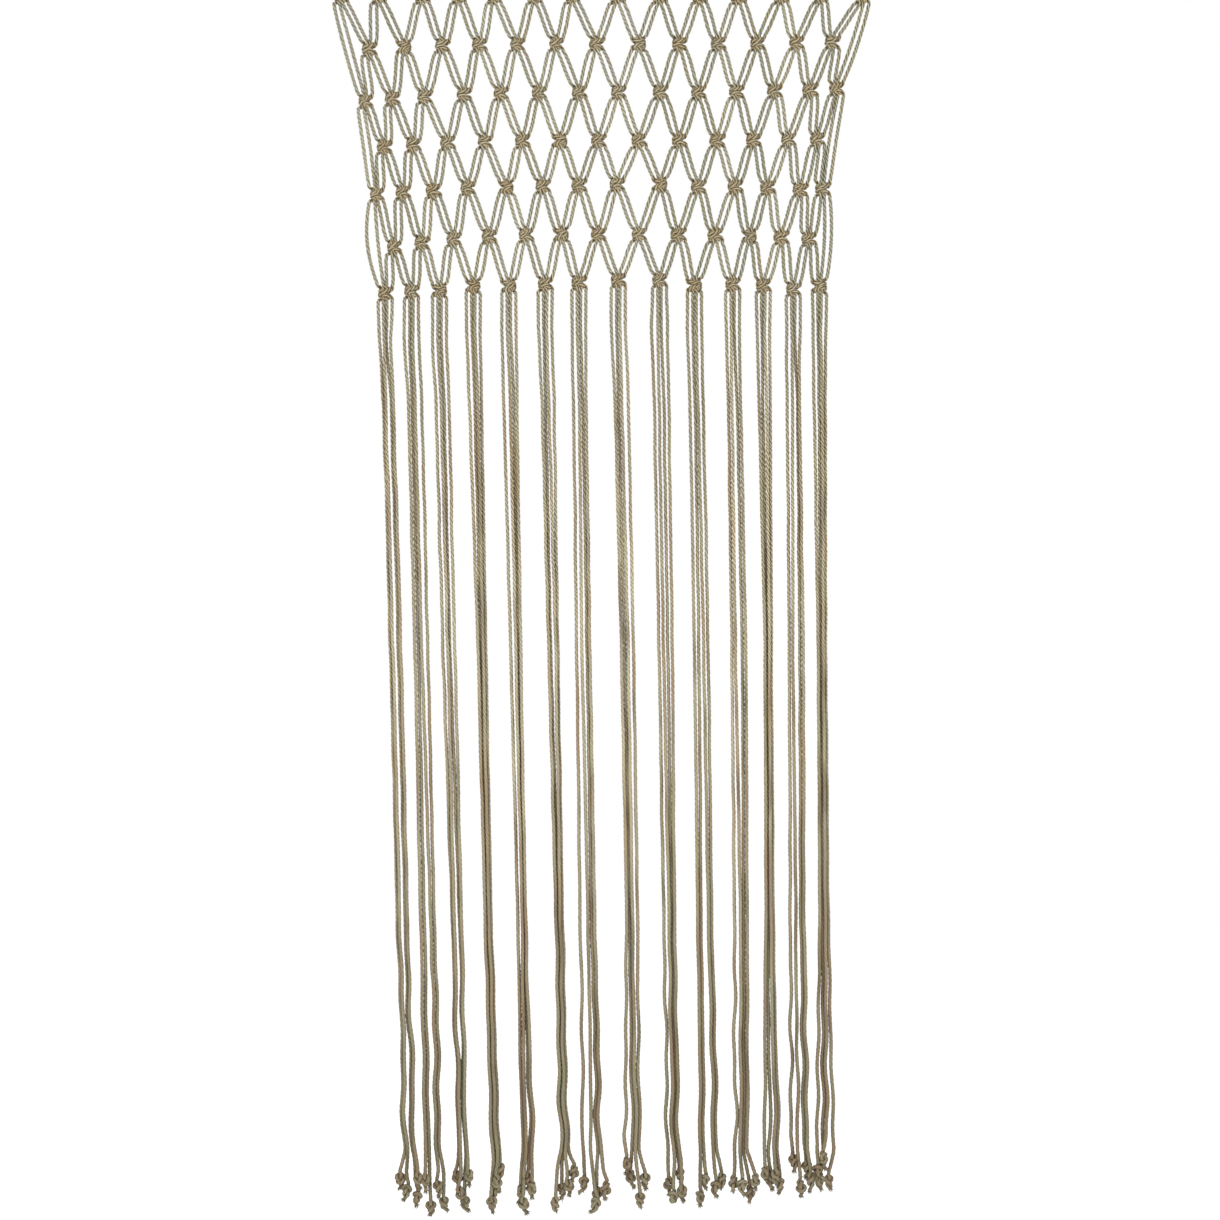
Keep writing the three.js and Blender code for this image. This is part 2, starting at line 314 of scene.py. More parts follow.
def in_knot(row, i, role):
    """The settled path of one cord through one knot, in millimetres.

    The knot may be turned, mirrored and larger or smaller, but its ends stay where they are.
    """
    flip = KNOT_FLIP[row, i]
    path = square_knot[3 - role if flip else role].copy()
    if flip:
        path[:, 0] *= -1
    held = np.clip((np.abs(path[:, 2]) - GRIP_FROM) / (KNOT_REACH - GRIP_FROM), 0, 1)[:, None]
    c, n = math.cos(KNOT_TURN[row, i]), math.sin(KNOT_TURN[row, i])
    across, depth, up = (path * KNOT_SIZE[row, i]).T
    turned = np.stack([across * c - up * n, depth, across * n + up * c], 1)
    path = turned * (1 - held) + path * held
    x, z = knots[row][i]
    # The viewer stands on the -Y side of the frame.
    return np.stack([x + CORD * path[:, 0], -CORD * path[:, 1], z + CORD * path[:, 2]], 1)


print("cord 2 in row 0:", role_in(2, 0), "and in row 1:", role_in(2, 1))

# %% The way from one knot to the next
# A worker leaves its knot and reaches the next in a small bulge. PEAK makes the weight of
# that bulge 1 where it is strongest. SIDE_BOW is how far the cords at the two sides bow out
# on their long way past an odd row, for the first two and the last two cords.
WAY_POINTS = 24
PEAK = 9.5
BULGE = 1.0
SIDE_BOW = {2: (0, 0, 2, 2), 4: (-1.5, -1.5, -2, -2), 6: (9, 2, 3, 3)}
WANDER = (0.35, 0.6)


def between(cord, row_a, row_b, start, finish):
    """A cord's way from its place in one row of knots to its place in a later row."""
    t = np.linspace(0, 1, WAY_POINTS)[:, None]
    path = start + (finish - start) * t
    t = t[:, 0]
    for role, weight in ((role_in(cord, row_a)[1], PEAK * (1 - t) ** 3 * t),
                         (role_in(cord, row_b)[1], PEAK * t ** 3 * (1 - t))):
        if role in WORKERS:
            path[:, 0] += (-1 if role == 0 else 1) * BULGE * weight
    if row_b - row_a == 2:
        left = cord < 2
        bow = SIDE_BOW[row_b][cord if left else cord - CORDS]
        path[:, 0] += (-1 if left else 1) * bow * np.sin(math.pi * t)
    wander = rng.normal(0, WANDER)
    path[:, 0] += wander[0] * np.sin(math.pi * t)
    path[:, 1] += wander[1] * np.sin(math.pi * t)
    return path


print("a way from knot to knot has", WAY_POINTS, "points")

# %% The heading loop
# The two cords of each loop come over the rod side by side. LOOP has a row for each point of
# the left one: across in cord widths, towards the front, and height, both in millimetres.
LOOP = ((-1.8, 8, -30.5), (-1.5, 14.9, -17.8), (-1.2, 10.5, -7.3), (-1.0, 0, -2.9),
        (-0.8, -10.5, -7.3), (-0.6, -14.9, -17.8), (-0.5, -8, -30))


def heading_loop(group, right, start, finish):
    """The fold of one doubled cord, from its front worker to its filler at the back."""
    x = GROUPS[group]["x0"]
    side = -1 if right else 1
    points = [(x + side * CORD * across, -front, height) for across, front, height in LOOP]
    return through([start, *points, finish], 1.0)


print("the loops are", round(2 * max(front for _, front, _ in LOOP) + CORD, 1), "mm deep")

# %% [markdown]
# ## The hanging strands
# Four strands hang from each knot of the last row. A group's table row says how wide it is at
# four levels and where its strands part. Between these levels they drift and wave a little,
# more so towards the floor. Strands that lie together sway as one bunch, and where two would
# meet one slips in front of the other. That is again a matter of pushing apart: at each
# height the four are shoved out of each other, and out of their neighbours' end knots.

# %% Strand places at a level
TOUCHING = 0.92 * CORD
SQUEEZED = 0.42 * CORD
LEAST_GAP = 2.5


def parted(width, pattern):
    """Middles of four strands across a width, with the gaps where the pattern has bars.

    In a narrow group the strands of a bunch lie partly behind each other, so a gap of at
    least LEAST_GAP still shows. With no bar, or no room, they are spread evenly.
    """
    joints, bars, seen = [], 0, 0
    for mark in pattern:
        if mark == "|":
            bars += 1
            continue
        if seen:
            joints.append(bars)
        joints += [0] * (int(mark) - 1)
        seen += int(mark)
        bars = 0
    bars = np.array(joints, float)
    shut_joints = bars == 0
    steps = np.full(3, TOUCHING)
    if bars.any() and shut_joints.any():
        room = width - CORD - (~shut_joints).sum() * (CORD + LEAST_GAP)
        steps[shut_joints] = np.clip(room / shut_joints.sum(), SQUEEZED, TOUCHING)
    spare = width - CORD - steps.sum()
    if spare < 0 or not bars.any():
        bars = np.ones(3)
    places = np.r_[0, np.cumsum(steps + spare * bars / bars.sum())]
    return places - places.mean()


def bunches(pattern):
    """How much each strand sways with each of the four: those of one bunch sway as one."""
    sizes = [int(mark) for mark in pattern if mark != "|"]
    bunch = np.repeat(np.arange(len(sizes)), sizes)
    same = bunch[:, None] == bunch[None]
    return same / same.sum(1)


print("1|3 in 26 mm:", parted(26, "1|3").round(1))

# %% Levels of a group
SHOULDER_WIDTH = 28
SHOULDER_DROPS = (0, 14, 60)
FIRST_DRIFT = 0.3
KNOT_PINS = (-SHOULDER_LOW, -FILLER, FILLER, SHOULDER_LOW)


def levels_of(g, knot_x, top):
    """Heights of the levels, the group's middle and strand places there, and its bunches."""
    heights = [top - drop for drop in SHOULDER_DROPS] + [-level for level in LEVELS]
    middles = [knot_x, knot_x, knot_x, knot_x + FIRST_DRIFT * (g["mid"] - knot_x),
               g["mid"], g["low"], g["end"]]
    widths = [SHOULDER_WIDTH, g["wide"] + 2, g["wide"], g["waist"], g["slim"], g["splay"]]
    partings = 3 * ["1|2|1"] + g["parting"].split()
    places = [[x * CORD for x in KNOT_PINS]]
    places += [parted(width, pattern) for width, pattern in zip(widths, partings[1:])]
    return heights, middles, places, np.array([bunches(pattern) for pattern in partings])


def eased(z, start, end):
    """0 above a height in metres and 1 below another, with a smooth way between."""
    t = np.clip((start - z) / (start - end), 0, 1)
    return t * t * (3 - 2 * t)


def swell_at(z):
    """Thickness of the cord: less where a weight hangs on it, more where it has untwisted."""
    return (1 - 0.08 * eased(z, -0.5, -0.62) + 0.04 * eased(z, -1.1, -1.6)
            + 0.08 * eased(z, -1.6, -1.9))


print("cord near the floor:", round(CORD * float(swell_at(-1.9)), 2), "mm")

# %% Push strands apart
PUSH_ROUNDS = 60
PUSH_PULL = 0.15


def pushed_apart(aim, girth):
    """Four strands close to where they aim, at each height shoved out of each other."""
    p = aim.copy()
    for _ in range(PUSH_ROUNDS):
        p += PUSH_PULL * (aim - p)
        for i in range(4):
            for j in range(i + 1, 4):
                gap = p[:, i] - p[:, j]
                far = np.linalg.norm(gap, axis=1) + 1e-6
                width = (girth[:, i] + girth[:, j]) / 2
                shove = (np.clip(width - far, 0, None) / far / 2)[:, None] * gap
                p[:, i] += shove
                p[:, j] -= shove
        smooth(p)
    return p


trial = pushed_apart(np.array([[[0, 0], [3, 0], [20, 0], [30, 0.0]]] * 3), np.full((3, 4), CORD))
print("strands 3 mm apart are pushed to", (trial[1, 1, 0] - trial[1, 0, 0]).round(1), "mm")

# %% The strands of one group
# Every strand sways in waves of its own and in those of its group, more so towards the floor,
# and SLIP is how far it hangs in front or behind. It leaves its bunch by FAN above its end
# knot, and is in place by KNOT_TOP above it. KNOT_GIRTH is how much wider than the cord an end
# knot is, and KNOT_ROOM how far above and below it the others make way.
STEP = 2.1
WAVES = (150, 97, 260, 410)
WAVE_SIZES = (1.0, 1.0, 0.7, 0.7)
ANY_PHASE = 6.3
OWN_SWAY = 0.8
SHARED_SWAY = 0.5
DEPTH_SWAY = 0.5
FADE_IN = 70
CALM = 0.25
LIVELIER = 1.15
LIVELY_FROM = 1500
LIVELY_OVER = 330
SLIP = 2.5
SLIP_AT_END = 1.9
SNUG = 0.97
FAN = 40
KNOT_TOP = 10
BELOW_KNOT = 60
KNOT_ROOM = 13
KNOT_GIRTH = 1.3


def hang(group_index):
    """Paths of four strands, from their last knot to the tops of their end knots."""
    g = GROUPS[group_index]
    knot_x, knot_z = knots[LAST_ROW][group_index]
    top = knot_z - KNOT_REACH * CORD
    height = np.arange(top, -g["reach"], -STEP)
    levels, middles, places, together = levels_of(g, knot_x, top)
    x, y, own_sway, free, girth = np.zeros((5, len(height), 4))
    first_side = 1 if group_index % 2 else -1
    shared = rng.uniform(0, ANY_PHASE, len(WAVES))
    fade = np.clip((top - height) / FADE_IN, 0, 1)
    lively = CALM + LIVELIER * np.clip((-height - LIVELY_FROM) / LIVELY_OVER, 0, 1)
    for s in range(4):
        end_x, end_z = g["end_knots"][s]
        stops = [(max(z, FAN - end_z), m + p[s]) for z, m, p in zip(levels, middles, places)]
        stops += [(z, g["end"] + end_x) for z in (KNOT_TOP - end_z, -end_z - BELOW_KNOT)]
        zs, xs = zip(*stops)
        x[:, s] = np.interp(-height, [-z for z in zs], xs)
        side = first_side * (1 if s % 2 else -1)
        end = np.clip((-height - end_z + FAN + KNOT_TOP) / FAN, 0, 1)
        free[:, s] = fade * (1 - end)
        for k, (wave, wave_size) in enumerate(zip(WAVES, WAVE_SIZES)):
            size = lively * wave_size
            phase = 2 * math.pi * height / wave
            own_sway[:, s] += OWN_SWAY * size * np.sin(phase + rng.uniform(0, ANY_PHASE))
            x[:, s] += SHARED_SWAY * size * free[:, s] * np.sin(phase + shared[k])
            y[:, s] += DEPTH_SWAY * free[:, s] * np.sin(phase + rng.uniform(0, ANY_PHASE))
        y[:, s] += side * fade * (SLIP + SLIP_AT_END * end)
        at_knot = np.exp(-((height + end_z) / KNOT_ROOM) ** 2)
        girth[:, s] = CORD * (SNUG * swell_at(height * MM) + KNOT_GIRTH * at_knot)
    for s in range(4):
        for other in range(4):
            share = np.interp(-height, [-z for z in levels], together[:, s, other])
            x[:, s] += free[:, s] * share * own_sway[:, other]
    p = pushed_apart(np.stack([x, y], 2), girth)
    return [np.column_stack([p[:, s, 0], p[:, s, 1], height]) for s in range(4)]


strands = [hang(i) for i in range(len(GROUPS))]
print("strand paths:", sum(len(group) for group in strands))

# %% [markdown]
# ## End knots and tails
# Each strand ends in an overhand knot, and the maker's hand shows in them: no two are turned,
# tilted or drawn up alike. They could all be drawn one by one, but copies of the settled knot
# that are changed by seeded random numbers give the same look in a few lines. The strand is
# cut a little above the knot, and a short smooth joint leads into it.

# %% End knots and tails
CUT_BACK = 8
CLEARANCE = 2.5 * CORD
TAIL_DROOP = -0.5
TAIL_FLOOR = 3
KNOT_STRETCH = (0.8, 0.95)
KNOT_SPREAD = (1.1, 1.35)
TAIL_LENGTH = (1.5, 4.5)


def end_of_strand(group_index, s, hanging):
    """A strand cut to its end knot, with the knot and its tail."""
    g = GROUPS[group_index]
    end_x, end_z = g["end_knots"][s]
    spin, tilt = rng.uniform(0, 2 * math.pi), rng.uniform(0, 0.35)
    knot = end_knot * (1, 1, rng.uniform(*KNOT_STRETCH))
    tapered = np.clip(END_KNOT_REACH - np.abs(knot[:, 2:]), 0, 1)
    knot[:, :2] *= rng.uniform(*KNOT_SPREAD) * tapered
    if rng.random() < 0.5:
        knot[:, 0] *= -1
    c, n = math.cos(tilt), math.sin(tilt)
    knot = knot @ np.array([[c, 0, n], [0, 1, 0], [-n, 0, c]])
    c, n = math.cos(spin), math.sin(spin)
    knot = knot @ np.array([[c, n, 0], [-n, c, 0], [0, 0, 1]])
    y = hanging[np.argmin(np.abs(hanging[:, 2] + end_z)), 1]
    knot = knot * CORD + [g["end"] + end_x, y, -end_z]
    above = hanging[hanging[:, 2] > knot[0, 2] + CLEARANCE]
    joint = through([*above[-CUT_BACK::7], *knot[:4:3]], 1.0)
    tail_length = rng.uniform(*TAIL_LENGTH)
    away = knot[-1] - knot[-4]
    away /= np.linalg.norm(away)
    aside = rng.normal(0, 0.5, 3)
    aside[2] = TAIL_DROOP
    tail = [knot[-1] + away * tail_length * share + aside * tail_length * share**2
            for share in (0.5, 1.0)]
    tail = [np.maximum(point, [-1e9, -1e9, -g["reach"] + TAIL_FLOOR]) for point in tail]
    return above[:-CUT_BACK], joint, knot, through([knot[-1], *tail], 1.0)


print("tails are", TAIL_LENGTH, "mm long")

# %% [markdown]
# ## All the cords
# Now the pieces of way are put in a row, one list for each of the 28 long cords: up one leg
# from its tail, over the rod, and down the other leg. Every stretch keeps a label with the
# name of the piece that it will belong to. Because each cord is one unbroken path, its twist
# runs on from piece to piece with no seam.

# %% Paths of the legs
# RING_KNOTTED and RING_HANGING are the steps from point to point along the cord.
RING_KNOTTED = 2.0
RING_HANGING = 2.8
PIECE_OF_ROW = ("heading", "heading", "net", "net", "net", "fringe", "fringe")


def leg(cord):
    """Labelled stretches of one half of a cord, from the heading down to its tail."""
    stretches = []
    for row, label in enumerate(PIECE_OF_ROW):
        held = role_in(cord, row)
        if held is None:
            continue
        knot = in_knot(row, *held)
        if row:
            before = row - 1 if role_in(cord, row - 1) else row - 2
            way = between(cord, before, row, stretches[-1][1][-1], knot[0])
            stretches.append((label, way, RING_KNOTTED, 0.0))
        stretches.append((label, knot, RING_KNOTTED, 1.0))
    group, s = divmod(cord, 4)
    label = f"strand_group_{group + 1:02d}"
    hanging, joint, knot, tail = end_of_strand(group, s, strands[group][s])
    hanging = np.vstack([stretches[-1][1][-1][None], hanging[1:]])
    return stretches + [(label, hanging, RING_HANGING, 0.0), (label, joint, RING_HANGING, 0.0),
                        (label, knot, RING_KNOTTED, 1.0), (label, tail, RING_KNOTTED, 0.0)]


legs = [leg(cord) for cord in range(CORDS)]
print("stretches in the first leg:", len(legs[0]))

# %% The 28 long cords
SHARPEST_TURN = math.radians(24)
TURN_ROUNDS = 8


def rounded(p):
    """The same path with its sharpest turns eased."""
    step = np.diff(p, axis=0)
    step /= np.linalg.norm(step, axis=1)[:, None]
    turn = np.arccos(np.clip((step[1:] * step[:-1]).sum(1), -1, 1))
    soft = np.clip((turn - SHARPEST_TURN) / SHARPEST_TURN, 0, 1)
    soft = np.convolve(soft, (0.5, 1, 0.5), "same").clip(0, 1)[:, None] * 0.5
    out = p.copy()
    out[1:-1] += soft * ((p[:-2] + p[2:]) / 2 - p[1:-1])
    return out


long_cords = []
for first_leg in range(0, CORDS, 2):
    right = first_leg % 4 == 2
    worker, filler = (first_leg + 1, first_leg) if right else (first_leg, first_leg + 1)
    loop = heading_loop(first_leg // 4, right, legs[worker][0][1][0], legs[filler][0][1][0])
    up = [(label, path[::-1], ring, tied) for label, path, ring, tied in legs[worker][::-1]]
    stretches = up + [("heading", loop, RING_KNOTTED, 0.0)] + legs[filler]
    points, labels, tied_marks = [], [], []
    for label, path, ring, tied in stretches:
        stepped = even(path, ring)
        fresh = stepped[1:] if points else stepped
        points.append(fresh)
        labels += [label] * len(fresh)
        tied_marks += [tied] * len(fresh)
    p = np.vstack(points)
    smooth(p)
    for _ in range(TURN_ROUNDS):
        p = rounded(p)
    long_cords.append((p * MM, np.array(labels), np.array(tied_marks)))
cord_metres = sum(np.linalg.norm(np.diff(p, axis=0), axis=1).sum() for p, _, _ in long_cords)
print(f"{len(long_cords)} cords, {cord_metres:.1f} m in all")

# %% [markdown]
# ## A twisted rope
# Jute cord is laid from three plies, and each ply shows as a ridge that winds round it. A
# screw modifier or a curve bevel could make it, but not along a way as crooked as a knot. So
# a ring of nine points is carried along each path without twisting, every ring is then turned
# by the lay of the rope, and every third point is drawn in. Its lines follow the ridges and
# the grooves, and the grooves are marked sharp, so a few faces are enough.

# %% Where cords lie against each other
# These vectors say where shade is painted onto a cord by the cords that lie close against it.
CROWDED = 1.35 * CORD * MM
SAME_PLACE = 6


def crowding(paths):
    """For each point of each path, a vector towards the other cords that lie close to it."""
    tree = kdtree.KDTree(sum(len(p) for p in paths))
    owner, place = [], []
    for number, p in enumerate(paths):
        for i, point in enumerate(p):
            tree.insert(point, len(owner))
            owner.append(number)
            place.append(i)
    tree.balance()
    found = []
    for number, p in enumerate(paths):
        towards = np.zeros_like(p)
        for i, point in enumerate(p):
            for other, index, far in tree.find_range(point, CROWDED):
                if owner[index] != number or abs(place[index] - i) > SAME_PLACE:
                    towards[i] += (np.array(other) - point) / (far + 1e-9) * (1 - far / CROWDED)
        found.append(towards)
    return found


crowds = crowding([p for p, _, _ in long_cords])
print("most crowded point:", round(max(np.linalg.norm(c, axis=1).max() for c in crowds), 2))

# %% Rings along a path
# Between these two heights the grooves grow shallow, because the jute is worn and hairy.
WORN_FROM = -0.6
WORN_TO = -1.4
LAY = 24 * MM
PLIES = 3
RING = 3 * PLIES
GROOVE_DEPTH = 0.52
WORN_DEPTH = 0.86
PLY_SWELL = 1.05
UNEVEN_LENGTHS = (0.027, 0.046, 0.081, 0.21)
UNEVEN = 0.03
LAY_DRIFT = 0.7


def carried_frames(p):
    """Two directions across a path at each point, carried along it without twisting."""
    tangent = np.gradient(p, axis=0)
    tangent /= np.linalg.norm(tangent, axis=1)[:, None] + 1e-12
    across = np.zeros_like(p)
    v = np.cross(tangent[0], (0.0, 1.0, 0.0))
    v /= np.linalg.norm(v)
    for i, t in enumerate(tangent):
        v = v - t * (v @ t)
        v /= math.sqrt(v @ v)
        across[i] = v
    return across, np.cross(tangent, across)


def waves_along(along, lengths, source):
    """The sum of one wave for each length, each with a random phase."""
    return sum(np.sin(2 * math.pi * along / length + source.uniform(0, ANY_PHASE))
               for length in lengths)


def rings_of(p, crowd):
    """Ring points of the whole rope, how far along it each is, and how much shade is painted on
    each point by cords close to it.
    """
    across, other = carried_frames(p)
    along = np.r_[0, np.cumsum(np.linalg.norm(np.diff(p, axis=0), axis=1))]
    k = np.arange(RING)
    uneven = waves_along(along, UNEVEN_LENGTHS, rng) / 2
    drift = LAY_DRIFT * (waves_along(along, UNEVEN_LENGTHS, rng) / 2)
    angle = 2 * math.pi * (k[None] / RING - along[:, None] / LAY) + drift[:, None]
    depth = GROOVE_DEPTH + (WORN_DEPTH - GROOVE_DEPTH) * eased(p[:, 2], WORN_FROM, WORN_TO)
    ridge = CORD * MM / 2 * PLY_SWELL * swell_at(p[:, 2]) * (1 + UNEVEN * uneven)
    radius = ridge[:, None] * np.where(k[None] % PLIES == 0, depth[:, None], 1.0)
    out = np.cos(angle)[..., None] * across[:, None] + np.sin(angle)[..., None] * other[:, None]
    painted_crevice_shade = np.clip(np.einsum("ijk,ik->ij", out, crowd), 0, 1)
    return p[:, None] + radius[..., None] * out, along, painted_crevice_shade


print(RING, "points in a ring, a full turn of the lay in", round(LAY / MM), "mm")

# %% Collect the stretches of each piece
# Besides its rings, a stretch carries what the jute will need to know: its tone, whether it
# is tied in a knot, its hue, and how much shade is painted on each point by other cords close to
# it.
HUE_LENGTHS = (0.33, 0.87, 2.1)
TONE_WAVE = 9
pieces = {}
tail_ends = []
hue_rng = np.random.default_rng(11)
for number, (p, labels, tied) in enumerate(long_cords):
    rings, along, painted_crevice_shade = rings_of(p, crowds[number])
    tone = rng.normal(0, 1, 2)
    hue = waves_along(along, HUE_LENGTHS, hue_rng) / 1.2
    breaks = np.flatnonzero(labels[1:] != labels[:-1])
    edges = [0, *breaks.tolist(), len(p) - 1]
    for a, b in zip(edges, edges[1:]):
        name = labels[b] if a else labels[0]
        part = slice(a, b + 1)
        shade = tone[0] + 0.5 * tone[1] * np.sin(along[part] * TONE_WAVE + number)
        pieces.setdefault(str(name), []).append(
            (rings[part], along[part], shade, tied[part], hue[part], painted_crevice_shade[part]))
    for end, inward in ((p[0], p[3]), (p[-1], p[-4])):
        out = end - inward
        tail_ends.append((end, out / np.linalg.norm(out)))
print({name: sum(len(r[0]) for r in runs) * 2 * RING for name, runs in pieces.items()})

# %% Faces of a piece
def faces_of(runs):
    """Quads round every rope, where each corner lies on the rope's UV map, and the end caps."""
    quads, quad_uv, caps = [], [], []
    offset = 0
    k = np.arange(RING)
    for rings, along, *_ in runs:
        i = np.arange(len(rings) - 1)[:, None]
        a = offset + i * RING + k[None]
        b = offset + i * RING + (k[None] + 1) % RING
        quads.append(np.stack([a, b, b + RING, a + RING], 2).reshape(-1, 4))
        left, right = np.broadcast_to(k / RING, a.shape), np.broadcast_to((k + 1) / RING, a.shape)
        low = np.broadcast_to(along[:-1, None] / LAY, a.shape)
        high = np.broadcast_to(along[1:, None] / LAY, a.shape)
        uv = np.stack([left, low, right, low, right, high, left, high], 2)
        quad_uv.append(uv.reshape(-1, 2))
        caps.append(offset + k[::-1])
        caps.append(offset + (len(rings) - 1) * RING + k)
        offset += len(rings) * RING
    return np.concatenate(quads), np.concatenate(quad_uv), np.array(caps)


print("faces round one cord:", len(faces_of(pieces["net"][:1])[0]))

# %% Mesh of a piece
def keep_values(mesh, kind, domain, values_of):
    """Stores one value for each point or edge of a mesh, under each name."""
    for label, values in values_of.items():
        mesh.attributes.new(label, kind, domain).data.foreach_set("value", values)


def sharp_edges(mesh, caps):
    """Marks the lines along the grooves and round the cut ends as sharp."""
    pairs = np.zeros(len(mesh.edges) * 2, int)
    mesh.edges.foreach_get("vertices", pairs)
    pairs = pairs.reshape(-1, 2)
    lengthwise = abs(pairs[:, 0] - pairs[:, 1]) == RING
    in_groove = (pairs[:, 0] % RING % PLIES == 0) & lengthwise
    at_end = np.zeros(len(mesh.vertices), bool)
    at_end[caps.ravel()] = True
    round_end = at_end[pairs].all(1) & ~lengthwise
    keep_values(mesh, "BOOLEAN", "EDGE", {"sharp_edge": in_groove | round_end})


def piece_mesh(name, runs):
    """One mesh of many ropes, with its UV map and attributes."""
    vertices = np.concatenate([run[0].reshape(-1, 3) for run in runs])
    quads, quad_uv, caps = faces_of(runs)
    corners = np.concatenate([quads.ravel(), caps.ravel()])
    starts = np.concatenate([np.arange(len(quads)) * 4,
                             len(quads) * 4 + np.arange(len(caps)) * RING])
    mesh = bpy.data.meshes.new(name)
    mesh.vertices.add(len(vertices))
    mesh.vertices.foreach_set("co", vertices.ravel())
    mesh.loops.add(len(corners))
    mesh.loops.foreach_set("vertex_index", corners)
    mesh.polygons.add(len(starts))
    mesh.polygons.foreach_set("loop_start", starts)
    uv = np.zeros((len(corners), 2))
    uv[:len(quads) * 4] = quad_uv
    mesh.uv_layers.new(name="rope").data.foreach_set("uv", uv.ravel())
    groove = np.tile(np.arange(RING) % PLIES == 0, len(vertices) // RING).astype(float)
    tone, tied, hue = (np.concatenate([np.repeat(run[item], RING) for run in runs])
                       for item in (2, 3, 4))
    # The painted shade from nearby cords, one value for each point.
    painted_crevice_shade = np.concatenate([run[5].ravel() for run in runs])
    keep_values(mesh, "FLOAT", "POINT",
                {"groove": groove, "tone": tone, "tied": tied, "hue": hue, "painted_crevice_shade": painted_crevice_shade})
    mesh.update(calc_edges=True)
    mesh.validate()
    mesh.shade_smooth()
    sharp_edges(mesh, caps)
    return mesh


# %% Make the pieces
PIECE_NAME = {"heading": "heading_cords", "net": "net_cords", "fringe": "fringe_knots"}
made = {}
for name in sorted(pieces):
    title = PIECE_NAME.get(name, name)
    piece = bpy.data.objects.new(title, piece_mesh(title, pieces[name]))
    bpy.context.collection.objects.link(piece)
    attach(piece, "root")
    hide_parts(name if name in PIECE_NAME else "fringe")
    "knotted_cord" if name in PIECE_NAME else "hanging_cord"
    made[title] = piece
triangles = {n: sum(len(f.vertices) - 2 for f in o.data.polygons) for n, o in made.items()}
print(triangles, "total", sum(triangles.values()))

# %% [markdown]
# ## Frayed tails
# Under each end knot the cord is cut, and its plies come undone into a small brush of fibres.
# Hair particles would give more fibres than can be seen from here, and they can't be exported
# as a mesh. So each cut end gets a tuft of fine three-sided spikes, rooted all over the cut
# and fanned out from it.

# %% Wisps at the cut ends
WISPS = 28
FRAY = 0.0019
FAN_OUT = 0.42
LEAN_OUT = 0.4
ROOTED = 0.0015
WISP_LENGTH = (0.0035, 0.0075)
WISP_DROOP = 0.003
WISP_SHAPE = ((0, 0.0007), (0.6, 0.0006))


def wisps(ends):
    """Thin three-sided spikes that fan out from the cut ends."""
    vertices, faces = [], []
    for end, out in ends:
        for _ in range(WISPS):
            way = out + rng.normal(0, FAN_OUT, 3)
            way /= np.linalg.norm(way)
            side = np.cross(way, rng.normal(0, 1, 3))
            side /= np.linalg.norm(side)
            other = np.cross(way, side)
            turn, off = rng.uniform(0, 2 * math.pi), FRAY * math.sqrt(rng.random())
            away = math.cos(turn) * side + math.sin(turn) * other
            root = end - out * ROOTED + away * off
            way = way + away * off / FRAY * LEAN_OUT
            length = rng.uniform(*WISP_LENGTH)
            bend = np.array([0, 0, -rng.uniform(0, WISP_DROOP)])
            at = len(vertices)
            for share, thick in WISP_SHAPE:
                for k in range(3):
                    angle = 2 * math.pi * k / 3
                    vertices.append(root + way * length * share + bend * share**2
                                    + thick * (math.cos(angle) * side + math.sin(angle) * other))
            vertices.append(root + way * length + bend)
            faces.append((at + 2, at + 1, at))
            for k in range(3):
                n = (k + 1) % 3
                faces.append((at + k, at + n, at + 3 + n, at + 3 + k))
                faces.append((at + 3 + k, at + 3 + n, at + 6))
    return np.array(vertices), faces


wisp_points, wisp_faces = wisps(tail_ends)
floor_of_tails = -max(g["reach"] for g in GROUPS) * MM
wisp_points[:, 2] = np.maximum(wisp_points[:, 2], floor_of_tails)
wisp_mesh = bpy.data.meshes.new("frayed_tails")
wisp_mesh.from_pydata(wisp_points.tolist(), [], wisp_faces)
wisp_mesh.uv_layers.new(name="rope")
none, full = np.zeros(len(wisp_points)), np.ones(len(wisp_points))
keep_values(wisp_mesh, "FLOAT", "POINT",
            {"groove": none, "tone": full, "tied": full, "hue": none, "painted_crevice_shade": none})
wisp_mesh.shade_smooth()
frayed_tails = bpy.data.objects.new("frayed_tails", wisp_mesh)
bpy.context.collection.objects.link(frayed_tails)
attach(frayed_tails, "root")
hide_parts("fringe")
made["frayed_tails"] = frayed_tails
print(len(wisp_faces), "faces of wisps")

# %% [markdown]
# ## Jute
# Untreated jute is a dry, greyish straw brown. Its colour changes a little from cord to cord
# and along each cord. Shade is painted into the colour in the grooves between the plies, where
# no light gets in, and where cords lie close against each other. The net is paler and greener,
# the strands are browner, and towards the floor they are worn and their colour turns darker.
# Two or three materials would show a seam, so one serves every piece and reads the height.
# Close up, long fibres run along each ply. The colour is written as plain sums and products:
# a small class stands for a socket, and an operator on it adds the Math node for us.

# %% A small class for shader sums
class Wire:
    """An output socket that can be added, subtracted and multiplied."""

    def __init__(self, tree, socket):
        self.tree, self.socket = tree, socket

    def _math(self, operation, left, right):
        return node(self.tree, "ShaderNodeMath", {"operation": operation}, [left, right])

    def __add__(self, other):
        return self._math("ADD", self, other)

    def __radd__(self, other):
        return self._math("ADD", other, self)

    def __sub__(self, other):
        return self._math("SUBTRACT", self, other)

    def __rsub__(self, other):
        return self._math("SUBTRACT", other, self)

    def __mul__(self, other):
        return self._math("MULTIPLY", self, other)

    def __rmul__(self, other):
        return self._math("MULTIPLY", other, self)


